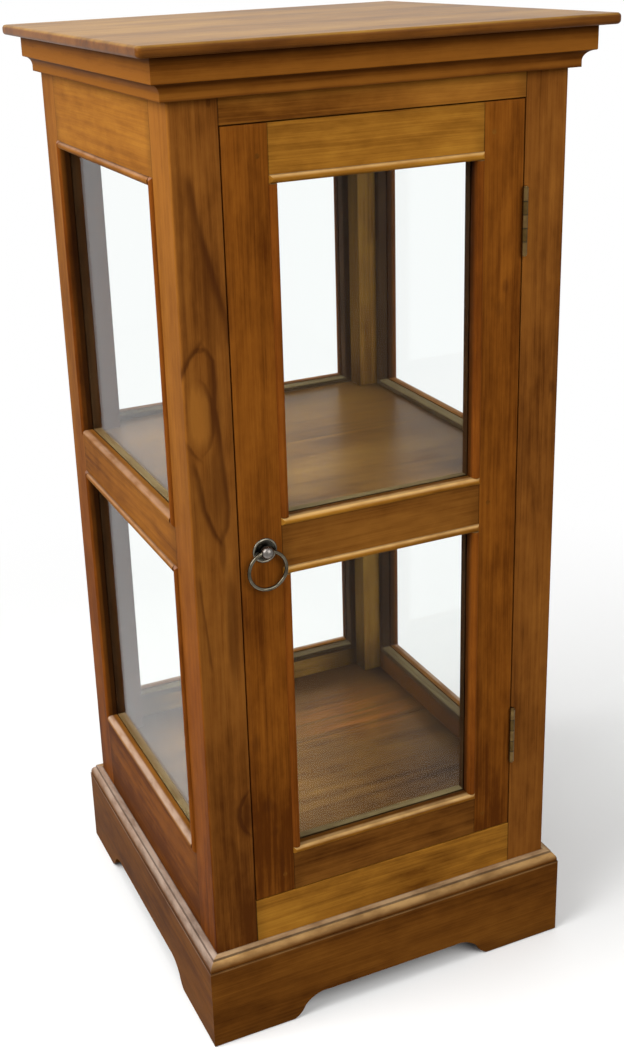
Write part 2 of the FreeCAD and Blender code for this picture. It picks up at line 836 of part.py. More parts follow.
# Door
def door(hinge_cuts):
    """Stiles, tenoned and pegged rails, panes and beads, drawn on the front face."""
    length = tenon_depth_share * door_stile_width
    levels = {
        "bottom": (door_bottom, lower_light_bottom),
        "mid": (lower_light_top, upper_light_bottom),
        "top": (upper_light_top, door_top),
    }
    edge_heights = {"bottom": door_bottom, "top": door_top}
    pegs = []
    sockets = []
    rails = {}
    for level, (low, high) in levels.items():
        shape = rail(door_light_half, length, door_thickness, low, high)
        sockets += mortises(door_light_half, length, door_thickness, low, high)
        if level in edge_heights:
            shape = shape.makeFillet(arris_radius, edges_at(shape, y=0, z=edge_heights[level]))
        drop = top_peg_drop if level == "top" else 0
        for side in (-1, 1):
            place = Vector(side * (door_light_half + peg_inset), 0, (low + high) / 2 - drop)
            pegs.append(Part.makeCylinder(peg_radius, door_thickness - peg_cover, place, Vector(0, 1, 0)))
        rails[level] = shape.cut(pegs[-2:])
    for level, shape in rails.items():
        nodes[f"door_{level}_rail"] = on_face("front", shape)
    strike = strike_plate()
    cuts = {"left": [strike, pull_holes()], "right": hinge_cuts}
    for name, side in (("left", -1), ("right", 1)):
        edge = side * door_half
        xs = sorted((edge, side * door_light_half))
        stile = box(*xs, 0, door_thickness, door_bottom, door_top)
        rims = edges_at(stile, y=0, x=edge)
        for height in edge_heights.values():
            rims += edges_at(stile, y=0, z=height)
        stile = stile.makeFillet(arris_radius, rims)
        nodes[f"door_{name}_stile"] = on_face("front", stile.cut(sockets + pegs + cuts[name]))
    (lower, upper), outer_beads, inner_beads = glazing(door_light_half, door_thickness, True)
    nodes["door_lower_glass"] = on_face("front", lower)
    nodes["door_upper_glass"] = on_face("front", upper)
    nodes["door_outer_beads"] = on_face("front", outer_beads)
    nodes["door_inner_beads"] = on_face("front", inner_beads)
    nodes["door_pegs"] = on_face("front", Part.makeCompound(pegs))
    nodes["strike_plate"] = on_face("front", strike)


# The whole cabinet
sockets = case_rails()
hinge_cuts = hinges()
catch_holes = catch()
for side_name, side in (("left", -1), ("right", 1)):
    for end in ("front", "back"):
        cuts = list(sockets)
        if (side_name, end) == ("right", "front"):
            cuts += [on_face("front", cut) for cut in hinge_cuts[1]]
        if (side_name, end) == ("left", "front"):
            cuts += catch_holes
        nodes[f"{end}_{side_name}_post"] = post(side, end, cuts)
cornice()
plinth()
top_board()
nodes["shelf_board"] = inner_board(shelf_top, shelf_thickness)
nodes["floor_board"] = inner_board(floor_top, floor_thickness)
cleats()
case_glazing()
door(hinge_cuts[-1])
ring_pull()
nodes["case_screws"] = Part.makeCompound(case_screws)

os.makedirs("parts", exist_ok=True)
for name, shape in nodes.items():
    shape.exportStep(f"parts/{name}.step")
print(len(nodes), "nodes,", sum(len(shape.Solids) for shape in nodes.values()), "solids")
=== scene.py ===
# %% [markdown]
# # A glazed teak display cabinet
# The cabinet is already a set of solids: posts, rails, a door on two hinges, panes held by beads,
# a moulded plinth and a ring pull. Here each of them gets its finish. The solids could be modelled
# again in Blender, but their shapes are right, so they stay as they are and this lesson is about
# wood, glass, metal and light.

# %% Load the frame
import math

import bmesh
import bpy
from mathutils import Matrix, Vector


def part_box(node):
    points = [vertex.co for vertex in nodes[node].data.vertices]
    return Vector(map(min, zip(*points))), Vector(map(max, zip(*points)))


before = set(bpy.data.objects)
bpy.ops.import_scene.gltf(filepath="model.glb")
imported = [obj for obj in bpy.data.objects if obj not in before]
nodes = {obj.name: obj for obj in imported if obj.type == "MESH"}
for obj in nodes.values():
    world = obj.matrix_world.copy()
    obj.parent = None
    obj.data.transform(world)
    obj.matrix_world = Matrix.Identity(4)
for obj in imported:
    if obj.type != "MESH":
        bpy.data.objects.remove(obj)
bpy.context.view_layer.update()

# %% [markdown]
# ## The camera
# The picture was taken from a little above the top board and from the left, so the left side and
# the front both show. A camera could be aimed by eye, but the corners of the case give its place
# exactly: the place, the three turns and the lens below put every corner where the picture has it.
# The shift moves the frame without tilting the camera, because the picture was cropped off centre.

# %% Camera
camera_place = Vector((-0.58771, -1.29031, 1.07613))
camera_yaw = math.radians(22.78)
camera_pitch = math.radians(20.06)
camera_roll = math.radians(-2.36)

camera_data = bpy.data.cameras.new("camera")
camera_data.lens = 48.30
camera_data.shift_x = 0.0476
camera_data.shift_y = -0.0708
camera = bpy.data.objects.new("camera", camera_data)
camera.matrix_world = (
    Matrix.Translation(camera_place)
    @ Matrix.Rotation(-camera_yaw, 4, "Z")
    @ Matrix.Rotation(math.pi / 2 - camera_pitch, 4, "X")
    @ Matrix.Rotation(camera_roll, 4, "Z")
)
bpy.context.scene.collection.objects.link(camera)
bpy.context.scene.camera = camera
print("camera", round((camera_place - Vector((0, 0, 0.5))).length, 3), "m from the middle of the case")

# %% [markdown]
# ## Shader maths as Python
# A finish is a tree of nodes, and most of its nodes only add or multiply. Written out node by node
# the idea gets lost, so one small class stands for the output of a node. Its operators add Math
# nodes, which makes a line such as `1 - mask` possible. Every other node comes from one method,
# which needs two helpers: one fills a node's sockets and the other the stops of a colour ramp.

# %% Filling a node
def fill(tree, node, values):
    """Gives a node's sockets their values, or links them where the value is another node's output."""
    for name, value in values.items():
        if isinstance(value, Shade):
            tree.links.new(value.end, node.inputs[name])
        else:
            node.inputs[name].default_value = value


def fill_ramp(ramp, stops):
    """Replaces a colour ramp's two stops by these pairs of place and colour."""
    while len(ramp.elements) > 1:
        ramp.elements.remove(ramp.elements[-1])
    ramp.elements[0].position = stops[0][0]
    ramp.elements[0].color = stops[0][1]
    for place, colour in stops[1:]:
        ramp.elements.new(place).color = colour


print("sockets and ramps can be filled")

# %% [markdown]
# The class holds a tree of nodes and one output in it. Python turns to the reflected forms, such as
# `__rsub__`, when a plain number comes first, so they are there as well.

# %% Sockets as values
class Shade:
    """The output of one node, with which shader maths is written as Python."""

    def __init__(self, tree, end):
        self.tree = tree
        self.end = end

    def node(self, kind, settings=None, values=None, output=0):
        """Any node: its settings are set first, then the values or links of its sockets."""
        made = self.tree.nodes.new(kind)
        for name, value in (settings or {}).items():
            if name == "stops":
                fill_ramp(made.color_ramp, value)
            else:
                setattr(made, name, value)
        fill(self.tree, made, values or {})
        return Shade(self.tree, made.outputs[output])

    def maths(self, operation, *values):
        return self.node("ShaderNodeMath", {"operation": operation}, dict(enumerate(values)))

    def __add__(self, other):
        return self.maths("ADD", self, other)

    def __sub__(self, other):
        return self.maths("SUBTRACT", self, other)

    def __rsub__(self, other):
        return self.maths("SUBTRACT", other, self)

    def __mul__(self, other):
        return self.maths("MULTIPLY", self, other)

    def __truediv__(self, other):
        return self.maths("DIVIDE", self, other)

    def __pow__(self, other):
        return self.maths("POWER", self, other)

    def __abs__(self):
        return self.maths("ABSOLUTE", self)

    __radd__ = __add__
    __rmul__ = __mul__


print("sockets can be added, subtracted, multiplied, divided and raised to a power")

# %% [markdown]
# Some steps come back in every finish: a soft step between two values, and a colour or a vector
# between two others. They get short names here. Colours and vectors go through nodes of their own,
# because a Math node would turn a colour grey.

# %% Steps and mixes
def soft_step(value, low, high):
    """0 at low, 1 at high and a smooth change between them; low may be the larger."""
    limits = {"Value": value, "From Min": low, "From Max": high}
    return value.node("ShaderNodeMapRange", {"interpolation_type": "SMOOTHSTEP"}, limits)


def mixed(share, first, second):
    """The first colour where the share is 0, the second where it is 1."""
    return share.node("ShaderNodeMix", {"data_type": "RGBA"}, {0: share, 6: first, 7: second}, 2)


def either(share, first, second):
    """The first vector where the share is 0, the second where it is 1."""
    return share.node("ShaderNodeMix", {"data_type": "VECTOR"}, {0: share, 4: first, 5: second}, 1)


def vector_maths(operation, first, second):
    return first.node("ShaderNodeVectorMath", {"operation": operation}, {0: first, 1: second})


print("steps and mixes ready")

# %% [markdown]
# Other steps ask about the place on the piece: a noise that is stretched along one axis, the three
# numbers of a place, the place moved or turned, and the way that the surface looks.

# %% Noise and places
def noise(place, stretch, detail=2.0, roughness=0.5, output=0):
    """Noise whose cells are 1 / stretch long on each axis; output 1 gives a vector of three noises."""
    scaled = vector_maths("MULTIPLY", place, stretch)
    settings = {"Vector": scaled, "Scale": 1.0, "Detail": detail, "Roughness": roughness}
    return place.node("ShaderNodeTexNoise", None, settings, output)


def parts_of(place):
    """The three numbers of a vector."""
    return [place.node("ShaderNodeSeparateXYZ", None, {"Vector": place}, axis) for axis in range(3)]


def moved(place, turn=(0, 0, 0), shift=(0, 0, 0), scale=(1, 1, 1)):
    """The place through a Mapping node, which scales, then turns, then shifts it."""
    settings = {"Vector": place, "Rotation": turn, "Location": shift, "Scale": scale}
    return place.node("ShaderNodeMapping", None, settings)


def facing_up(place):
    """1 where the surface looks up, 0 where it is upright, -1 where it looks down."""
    normal = place.node("ShaderNodeTexCoord", None, None, "Normal")
    return parts_of(normal)[2]


print("noise and places ready")

# %% [markdown]
# Colours are easiest to read as a painter's numbers from 0 to 255, but shaders count light, so a
# helper turns one into the other. A new finish starts with its Principled shader and with the
# place on the piece in millimetres, which keeps the sizes below the same as on a drawing.

# %% Colours and a new finish
def paint(red, green, blue):
    """Screen colour, 0 to 255, as the amounts of light that a shader wants."""
    amounts = []
    for level in (red / 255, green / 255, blue / 255):
        low = level <= 0.04045
        amounts.append(level / 12.92 if low else ((level + 0.055) / 1.055) ** 2.4)
    return (*amounts, 1.0)


def new_finish(name):
    """A material, its Principled shader, and the place on the piece in millimetres."""
    material = bpy.data.materials.new(name)
    material.use_nodes = True
    tree = material.node_tree
    shader = tree.nodes["Principled BSDF"]
    coordinates = tree.nodes.new("ShaderNodeTexCoord")
    place = moved(Shade(tree, coordinates.outputs["Object"]), scale=(1000, 1000, 1000))
    return material, shader, place


def put_on(material, *names):
    """Gives the finish to CAD pieces."""
    for name in names:
        nodes[name].material_slots[0].material = material


print("a mid brown is", [round(amount, 3) for amount in paint(120, 70, 22)])

# %% [markdown]
# ## Floor, light and background
# A furniture maker photographs a cabinet on a pale sweep of paper under large soft lamps. The sweep
# could curve up behind the cabinet, but a large flat sheet that fades into white looks the same and
# never shows a bend.

# %% Floor
def is_seen(start):
    """1 for what the camera sees directly, in a reflection or through glass."""
    rays = [start.node("ShaderNodeLightPath", None, None, f"Is {kind} Ray")
            for kind in ("Camera", "Glossy", "Transmission")]
    return rays[0].maths("MAXIMUM", rays[0], rays[1].maths("MAXIMUM", rays[1], rays[2]))


floor_half = 14.0
floor_drop = 0.0003

sweep = bmesh.new()
bmesh.ops.create_grid(sweep, x_segments=4, y_segments=4, size=floor_half)
bmesh.ops.translate(sweep, verts=sweep.verts, vec=(0, 0, -floor_drop))
floor_mesh = bpy.data.meshes.new("floor")
sweep.to_mesh(floor_mesh)
sweep.free()
floor = bpy.data.objects.new("floor", floor_mesh)
bpy.context.scene.collection.objects.link(floor)
print("floor", floor_half * 2, "m across")

# %% [markdown]
# Away from the lamps the paper would turn grey, so it fades into plain white there. The fade only
# counts for what is seen, and near the cabinet the paper stays paper, which keeps the shadow.
# White paper would also throw its light up at the wood and wash it out, so the light that bounces
# off it meets a duller sheet.

# %% Floor paper
fade_start = 420.0
fade_end = 1250.0
dull_paper = paint(150, 147, 143)
pale_paper = paint(240, 240, 239)

paper, paper_shader, paper_place = new_finish("pale_paper")
seen = is_seen(paper_place)
fill(paper.node_tree, paper_shader, {"Base Color": mixed(seen, dull_paper, pale_paper), "Roughness": 0.9})
paper_shader.inputs["Specular IOR Level"].default_value = 0.0
length = paper_place.node("ShaderNodeVectorMath", {"operation": "LENGTH"}, {0: paper_place}, "Value")
far = soft_step(length, fade_start, fade_end) * seen
plain_white = paper_place.node("ShaderNodeEmission", None, {"Color": (1, 1, 1, 1), "Strength": 1.0})
both = paper_place.node(
    "ShaderNodeMixShader", None,
    {0: far, 1: Shade(paper.node_tree, paper_shader.outputs[0]), 2: plain_white},
)
fill(paper.node_tree, paper.node_tree.nodes["Material Output"], {"Surface": both})
floor_mesh.materials.append(paper)
print("paper fades to white between", fade_start, "and", fade_end, "mm")

# %% [markdown]
# Around the sheet everything is white, as in a tent of cloth. As a light it is kept dim, because
# light from all sides leaves no shadows. Where it is seen, directly, in a reflection or through
# glass, it is full white.

# %% Surround
surround_level = 0.32

world = bpy.data.worlds.new("surround")
bpy.context.scene.world = world
world.use_nodes = True
world_tree = world.node_tree
dim = world_tree.nodes["Background"]
dim.inputs["Color"].default_value = (1, 1, 1, 1)
dim.inputs["Strength"].default_value = surround_level
dim_end = Shade(world_tree, dim.outputs[0])
white = dim_end.node("ShaderNodeBackground", None, {"Color": (1, 1, 1, 1), "Strength": 1.0})
shown = dim_end.node("ShaderNodeMixShader", None, {0: is_seen(dim_end), 1: dim_end, 2: white})
fill(world_tree, world_tree.nodes["World Output"], {"Surface": shown})
bpy.context.scene.view_settings.view_transform = "Standard"
print("surround at", surround_level)

# %% [markdown]
# A single hard lamp would leave black shadows inside the case, so there is a broad lamp on the left,
# one above and a weaker one in front. Each is given by how bright it makes a white card at the
# middle of the case, because watts say little about the picture.

# %% Lamps
case_middle = Vector((0, 0, 0.5))


def soft_lamp(name, direction, distance, size, level):
    """Square lamp that makes a white card at the middle of the case as bright as the level."""
    lamp = bpy.data.lights.new(name, "AREA")
    lamp.size = size
    lamp.energy = level * math.pi**2 * distance**2
    holder = bpy.data.objects.new(name, lamp)
    aim = Vector(direction).normalized()
    holder.matrix_world = (
        Matrix.Translation(case_middle + aim * distance) @ aim.to_track_quat("Z", "Y").to_matrix().to_4x4()
    )
    bpy.context.scene.collection.objects.link(holder)
    print(name, round(lamp.energy, 1), "W")


soft_lamp("left_lamp", direction=(-1.0, -0.14, 0.85), distance=2.0, size=1.5, level=1.3)
soft_lamp("top_lamp", direction=(-0.15, 0.15, 1.0), distance=2.6, size=2.0, level=0.5)
soft_lamp("front_lamp", direction=(0.25, -1.0, 0.7), distance=2.8, size=2.0, level=0.66)

# %% [markdown]
# ## Teak
# Teak is golden to red brown. Its growth layers show as long flowing lines on a flat-sawn face, fine
# darker fibres and short open pores run along it, and whole areas drift between golden and brown.
# A picture of wood could be wrapped on each piece, but then the grain stops at every edge. Here the
# grain is a solid pattern: it runs through the piece along its length, so end grain comes out right.

# %% Direction of the grain
quarter = math.pi / 2
grain_turns = {"x": (0, 0, 0), "y": (0, 0, -quarter), "z": (0, quarter, 0)}
log_steps = (613.0, 97.0, 151.0)


def along_grain(place, axis, shift):
    """The place turned so that its first number runs along the grain, and moved within the log."""
    return moved(place, turn=grain_turns[axis], shift=shift)


def log_place(index):
    """A place in the log for each piece, far enough apart that no two pieces look alike."""
    return tuple(index * step for step in log_steps)


print("grain can run along", ", ".join(grain_turns))

# %% [markdown]
# The layers are the contour lines of a noise that is stretched along the grain, as the rings of a
# tree are when a saw cuts along it. Fibres and pores are finer noises, stretched much more.

# %% Layers, fibres and pores
layer_count = 62.0
layer_sharpness = 2.2
drift_reach = (30, 7, 7)


def wood_figure(grain, fibre_count):
    """Layers, clouds, fibres, hairs, pores, streaks and mottling of the wood, each about 0 to 1."""
    drift = vector_maths("SUBTRACT", noise(grain, (0.004, 0.02, 0.02), 2.0, output=1), (0.5, 0.5, 0.5))
    bent = vector_maths("ADD", grain, vector_maths("MULTIPLY", drift, drift_reach))
    swell = noise(bent, (0.0013, 0.019, 0.019), 1.0, 0.35)
    layers = swell.maths("SINE", swell * layer_count) * 0.5 + 0.5
    figure = {
        "layers": layers ** layer_sharpness,
        "clouds": noise(bent, (0.0035, 0.016, 0.016), 3.0, 0.5),
        "fibres": noise(bent, (0.0035, fibre_count, fibre_count), 3.0, 0.62),
        "hairs": noise(grain, (0.022, 1.7, 1.7), 2.0, 0.6),
        "pores": soft_step(noise(grain, (0.04, 1.25, 1.25), 1.0), 0.63, 0.74),
        "streaks": soft_step(noise(bent, (0.0014, 0.034, 0.034), 2.0, 0.45), 0.58, 0.78),
        "mottle": noise(grain, (0.03, 0.07, 0.07), 3.0, 0.6),
    }
    return figure


print("seven layers of detail in the wood")

# %% [markdown]
# A tone is the main colour of a board. Its dark and light ends are worked out from it: the dark end
# loses green and blue first, and the light end gains them, which is how varnished teak varies.

# %% Tones
def tone(red, green, blue):
    """Dark, main and light stops of a board from its main screen colour."""
    dark = paint(red * 0.66, green * 0.58, blue * 0.5)
    light = paint(min(255, red * 1.2), min(255, green * 1.27), min(255, blue * 1.35))
    return ((0.0, dark), (0.5, paint(red, green, blue)), (1.0, light))


tones = {
    "post": tone(118, 70, 25),
    "stile": tone(123, 70, 20),
    "golden": tone(148, 98, 32),
    "rail": tone(132, 82, 28),
    "dull": tone(114, 70, 25),
    # The cornice tone is darker than the rails: painted shade under the top's overhang.
    "cornice": tone(108, 62, 19),
    "top": tone(125, 89, 37),
    "plinth": tone(102, 60, 19),
    "bead": tone(116, 62, 18),
    "inside": tone(97, 68, 30),
    "back_post": tone(124, 92, 40),
    # The inner bead tone is very dark: painted shade inside the case.
    "inner_bead": tone(54, 37, 22),
    "dusty_and_lit": tone(104, 90, 62),
}
print(len(tones), "tones of teak")

# %% [markdown]
# Over its tone a board shows dark heartwood, dirt and painted shade, and bare wood where the varnish
# is rubbed off, which is partly a painted highlight. Each has its colour, and heartwood and the dirt
# and shade a limit, so that marks on top of each other never turn black.

# %% Colours of the marks
varnish_tint = (1.0, 0.8, 0.55, 1.0)
varnish_shine, polish_shine = 0.006, 0.34
satin_roughness = 0.42
heart_colour, most_heart = paint(66, 33, 12), 0.85
# Dirt and painted shade darken towards one colour.
dirt_and_shade_colour, most_dirt_and_shade = paint(40, 21, 9), 0.9
# The pale colours are bare or dusty wood, partly a painted highlight.
bare_and_lit_colour = (204, 166, 110)
faded_and_lit_colour = (200, 171, 131)
dusty_and_lit_colour = (199, 180, 164)
bump_depth = 0.0004
bump_strength = 0.1
filled_polish = 0.3
open_fibres, filled_fibres = 0.38, 0.12
level_shares = {"clouds": 1.45, "mottle": 0.7, "fibres": 0.7}


def added(values):
    """The sum of several shades."""
    return sum(values[1:], values[0])


def board_colour(tone_name, level):
    """The colour of a board at a level between the dark and the light end of its tone."""
    return level.node("ShaderNodeValToRGB", {"stops": tones[tone_name]}, {"Fac": level})


print("varnish tint", varnish_tint[:3])

# %% [markdown]
# Now the parts are put together. The figure moves a board's colour along its tone, pores and
# streaks darken it, dirt gathers where a rail meets an upright, and painted light and shade lighten
# or darken it elsewhere. The varnish is a satin film with an amber tint, so reflections stay warm.
# On most boards the hairs and pores can still be seen and felt through it, so they also lift the
# surface a little. Polished boards are filled.

# %% Teak finish
def teak(name, tone_name, axis, index, hearts=(), dirt_and_shade=(), lifts=(), wear_and_highlights=(), other=None, polish=0.0,
         grain=None):
    """A board of teak: its tone, the way its grain runs, and its place in the log.

    The other things are functions of the place and of the figure of the wood. hearts are dark veins
    and knots, dirt_and_shade are soiled lines and painted shade, and lifts make the board lighter or
    darker, some of them as painted light and shade. other is a second tone and the function that says
    where it shows, and wear_and_highlights holds pairs of a colour and such a function: there the
    varnish is rubbed off, and partly a painted highlight lies there.
    """
    material, shader, place = new_finish(name)
    run = grain(place, index) if grain else along_grain(place, axis, log_place(index))
    is_open = polish < filled_polish
    figure = wood_figure(run, open_fibres if is_open else filled_fibres)
    level = 0.5 - figure["layers"] * 0.12
    for part, share in level_shares.items():
        level = level + (figure[part] - 0.5) * share
    heart = figure["streaks"] * 0.2
    if is_open:
        level = level + (figure["hairs"] - 0.5) * 0.45
        heart = heart + figure["pores"] * 0.14
    if lifts:
        level = level + added([lift(place, figure) for lift in lifts])
    colour = board_colour(tone_name, level)
    if other:
        colour = mixed(other[1](place, figure), colour, board_colour(other[0], level))
    heart = added([heart] + [mark(place, figure) for mark in hearts])
    colour = mixed(heart.maths("MINIMUM", heart, most_heart), colour, heart_colour)
    # Rubbed bare wood, partly a painted highlight.
    for rubbed_and_lit_colour, rubbed_and_lit in wear_and_highlights:
        colour = mixed(rubbed_and_lit(place, figure), colour, paint(*rubbed_and_lit_colour))
    # Dirt and painted shade.
    if dirt_and_shade:
        dirt = added([line(place, figure) for line in dirt_and_shade])
        colour = mixed(dirt.maths("MINIMUM", dirt, most_dirt_and_shade), colour, dirt_and_shade_colour)
    gloss = satin_roughness - polish * 0.4 + (figure["fibres"] - 0.5) * 0.12 + heart * 0.08
    fill(material.node_tree, shader, {"Base Color": colour, "Roughness": gloss})
    if is_open:
        height = figure["hairs"] * 0.5 + figure["fibres"] * 0.5 - figure["pores"] * 0.7
        relief = {"Strength": bump_strength, "Distance": bump_depth, "Height": height}
        fill(material.node_tree, shader, {"Normal": height.node("ShaderNodeBump", None, relief, "Normal")})
    shader.inputs["Specular IOR Level"].default_value = varnish_shine + polish * polish_shine
    shader.inputs["Specular Tint"].default_value = varnish_tint
    return material


print("open boards have", open_fibres, "fibres to the millimetre, polished ones", filled_fibres)

# %% [markdown]
# ## Posts and rails
# A joiner's frame shows fine dark lines where a rail's shoulder meets a post, with a little dirt
# beside them. The solids meet without a gap there, so the line is drawn in the rail's finish, from
# the two ends of its box. The tenon is hidden inside the post and is left out of that length.

# %% Dirt at the joints
tenon_length = {"case": 16.2, "door": 15.3}
shoulder_line = 1.2
shoulder_band = 16.0


def joint_dirt(name, axis, tenon):
    """Dark lines and a soft soiled band at both shoulders of a rail."""
    low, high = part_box(name)
    number = "xyz".index(axis)
    middle = (low[number] + high[number]) * 500
    half = (high[number] - low[number]) * 500 - tenon

    def dirt(place, figure):
        inward = half - abs(parts_of(place)[number] - middle)
        line = soft_step(inward, shoulder_line, 0.3) * 0.6
        band = soft_step(inward, shoulder_band, 0.0) * soft_step(figure["clouds"], 0.35, 0.65) * 0.3
        return line + band

    return dirt


print("shoulder lines are drawn", tenon_length["case"], "mm in from the ends of a rail")

# %% [markdown]
# The left front post has the liveliest face of the cabinet: a dark flame runs down from the top,
# then come a pointed arch, a pale oval and a tongue, with a long stain below and a small knot near
# the foot. Noise never draws such a thing, so these lines are set out one by one. Each is a path of
# heights and places across the post, and a ramp turns the height into the place where it runs.

# %% Veins along a path
def vein(place, wander, path, width, strength):
    """A dark line that follows pairs of (height, x), with a soft shadow on its left side."""
    x, _, z = parts_of(place)
    low, high = path[0][0], path[-1][0]
    xs = [point[1] for point in path]
    left, right = min(xs) - 1.0, max(xs) + 1.0
    stops = []
    for height, across in path:
        grey = (across - left) / (right - left)
        stops.append(((height - low) / (high - low), (grey, grey, grey, 1.0)))
    share = (z - low) / (high - low)
    ramp = share.node("ShaderNodeValToRGB", {"stops": stops}, {"Fac": share})
    off = x + wander - (left + ramp * (right - left))
    core = soft_step(off, -width, 0.0) * soft_step(off, width * 0.6, 0.0)
    shadow = soft_step(off, width * -3.5, 0.0) * soft_step(off, width * 0.8, 0.0)
    ends = soft_step(z, low - 4.0, low + 12.0) * soft_step(z, high + 4.0, high - 12.0)
    return (core * 0.7 + shadow * 0.3) * ends * strength


flame_veins = (
    (((736, -147), (768, -153), (796, -161), (840, -172), (872, -177.5), (894, -180.5)), 7.5, 0.7),
    (((756, -190), (800, -190.5), (846, -187.5), (880, -184.5)), 4.5, 0.25),
    (((708, -199.5), (722, -194.5), (733, -188.5), (739, -183.5), (750, -176)), 5.5, 0.8),
    (((556, -165), (570, -160), (589, -158), (635, -162), (660, -163.5), (686, -167), (706, -166),
      (729, -167), (738, -172), (748, -178)), 5.0, 0.65),
    (((641, -182), (648, -174), (662, -169.5), (690, -169.5), (708, -175), (716, -182)), 4.2, 0.45),
    (((636, -181), (646, -189), (660, -197)), 4.2, 0.6),
    (((552, -166), (566, -173), (590, -181.5), (620, -185), (640, -190)), 5.4, 0.7),
    (((426, -183), (460, -185), (500, -189), (528, -190.5)), 2.6, 0.5),
    (((230, -151), (239, -158), (249, -162.4), (258, -164), (268, -163), (278, -158.5), (288, -151)),
     5.0, 1.0),
)
print(len(flame_veins), "veins on the left front post")

# %% [markdown]
# Stains and small knots are soft ovals. A ring of its own could be drawn for each knot, but at this
# size an oval reads as one, and the wandering of the grain makes its edge uneven.

# %% Stains and knots
def spot(place, wander, centre, half_size, strength, axes=(0, 2)):
    """A soft dark oval round (x, z) or on two other axes, such as a stain or a small knot."""
    numbers = parts_of(place)
    across = (numbers[axes[0]] + wander - centre[0]) / half_size[0]
    up = (numbers[axes[1]] - centre[1]) / half_size[1]
    reach = (across * across + up * up) ** 0.5
    return soft_step(reach, 1.0, 0.35) * strength


def knots(*places):
    """Small knots on a front face, each with its (x, z), its half sizes and its strength."""
    def marks(place, figure):
        wander = (figure["clouds"] - 0.5) * 12.0 + (figure["fibres"] - 0.5) * 4.0
        return added([spot(place, wander, *knot) for knot in places])

    return marks


print("stains and knots are ovals")

# %% [markdown]
# The post's own stains are long ovals between its veins. The drawing belongs to the front face only.
# A solid pattern would run through the whole post, so it fades out a few millimetres below the face.

# %% Stains of the left front post
flame_stains = (
    ((-160, 462), (8, 80), 0.55),
    ((-166, 546), (5, 28), 0.5),
    ((-171, 606), (15, 54), 0.38),
    ((-166, 790), (14, 80), 0.2),
    ((-166, 690), (8, 60), 0.3),
    ((-156, 259), (9, 24), 0.5),
    ((-159, 949), (3, 5), 0.5),
    ((-179, 740), (7, 3.5), 0.4),
)
near_front = -179.0
front_plane = -185.0


def post_wander(figure):
    """How far the lines of the post swing from side to side, in millimetres."""
    return (figure["clouds"] - 0.5) * 7.0 + (figure["fibres"] - 0.5) * 3.0


def at_front(place):
    """1 on the front face, 0 a few millimetres behind it."""
    return soft_step(parts_of(place)[1], near_front, front_plane + 1.0)


print(len(flame_stains), "stains on the left front post")

# %% [markdown]
# Veins and stains are added up to one drawing. The pale oval and the dark foot are kept apart from it,
# because they make the board itself lighter or darker, and heartwood only darkens.

# %% Marks of the left front post
pale_oval = ((-182, 680), (13, 38), 0.65)
foot_top, foot_bottom = 420.0, 150.0


def flame(place, figure):
    """All dark marks of the left front post."""
    wander = post_wander(figure)
    marks = [vein(place, wander, *line) for line in flame_veins]
    marks += [spot(place, wander, *stain) for stain in flame_stains]
    return added(marks) * at_front(place)


def dark_foot(place, figure):
    """The foot of the post's front face is darker."""
    return soft_step(parts_of(place)[2], foot_top, foot_bottom) * at_front(place) * -0.22


def flame_oval(place, figure):
    """The pale oval inside the arch."""
    return spot(place, post_wander(figure), *pale_oval) * at_front(place)


print("the foot is darker below", foot_top, "mm")

# %% [markdown]
# The left side has painted light and shade: it is lighter high up, and redder and darker low down.
# A second material on those faces could do it, but then the solid would have to be cut up, so the
# finish looks at the place: within a millimetre of the left plane it is the left face.

# %% Painted light and shade on the left side
left_plane, right_plane = -196.0, 196.0
shade_top, shade_bottom = 640.0, 380.0
full_light_height = 790.0


def on_left(x):
    """1 on the left face of the case."""
    return soft_step(x, left_plane + 1.5, left_plane + 0.3)


def left_side_light_and_shade(slope, start):
    """Painted light and shade: lighter on the left face of the case high up, darker low down."""
    def lift(place, figure):
        x, _, z = parts_of(place)
        return on_left(x) * (z * slope + start)

    return lift


def shaded_side(place, figure):
    """1 low down on the left face of the case, where painted shade makes the wood redder and darker."""
    x, _, z = parts_of(place)
    return on_left(x) * soft_step(z, shade_top, shade_bottom)


def darker_below(place, figure):
    """Darker low down, where the light seldom falls."""
    return (parts_of(place)[2] - full_light_height) * 0.0004


left_light_and_shade_post = left_side_light_and_shade(slope=0.0005, start=-0.14)
left_light_and_shade_rail = left_side_light_and_shade(slope=0.00068, start=-0.47)
print("the left side is redder below", shade_top, "mm")

# %% [markdown]
# Inside the case the inner faces of the rails get painted shade, as little light reaches them. The
# back gets more light through the glass, so its painted shade is dark only towards the posts.

# %% Inner faces
back_plane = 201.0
frame_thickness = 22.0


def inner_faces(place, figure):
    """1 on the faces that look into the case."""
    x, y, _ = parts_of(place)
    sideways = abs(x)
    start = frame_thickness - 2.0
    end = frame_thickness - 0.5
    beside = soft_step(sideways, right_plane - start, right_plane - end)
    before = soft_step(y, back_plane - start, back_plane - end)
    behind = soft_step(y, front_plane + start, front_plane + end)
    return beside * before * behind


def inside_shade(place, figure):
    """Painted shade on the faces that look into the case."""
    return inner_faces(place, figure) * (0.6 + figure["mottle"] * 0.35)


def inside_shade_back(place, figure):
    """Painted shade at the back, where more light falls: it is darkest towards the posts."""
    near_post = soft_step(abs(parts_of(place)[0]), 85.0, 130.0)
    return inner_faces(place, figure) * (0.25 + near_post * 0.45)


print("inner faces lie", frame_thickness, "mm in")

# %% [markdown]
# The right back post is seen through the panes. Its face that looks left gets painted shade, and so
# do its faces just above the floor and the shelf. Both heights are taken from the boards themselves,
# so the painted shade stays on them when they move.

# %% Back post
post_width = 45.0
floor_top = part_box("floor_board")[1][2] * 1000
shelf_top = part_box("shelf_board")[1][2] * 1000


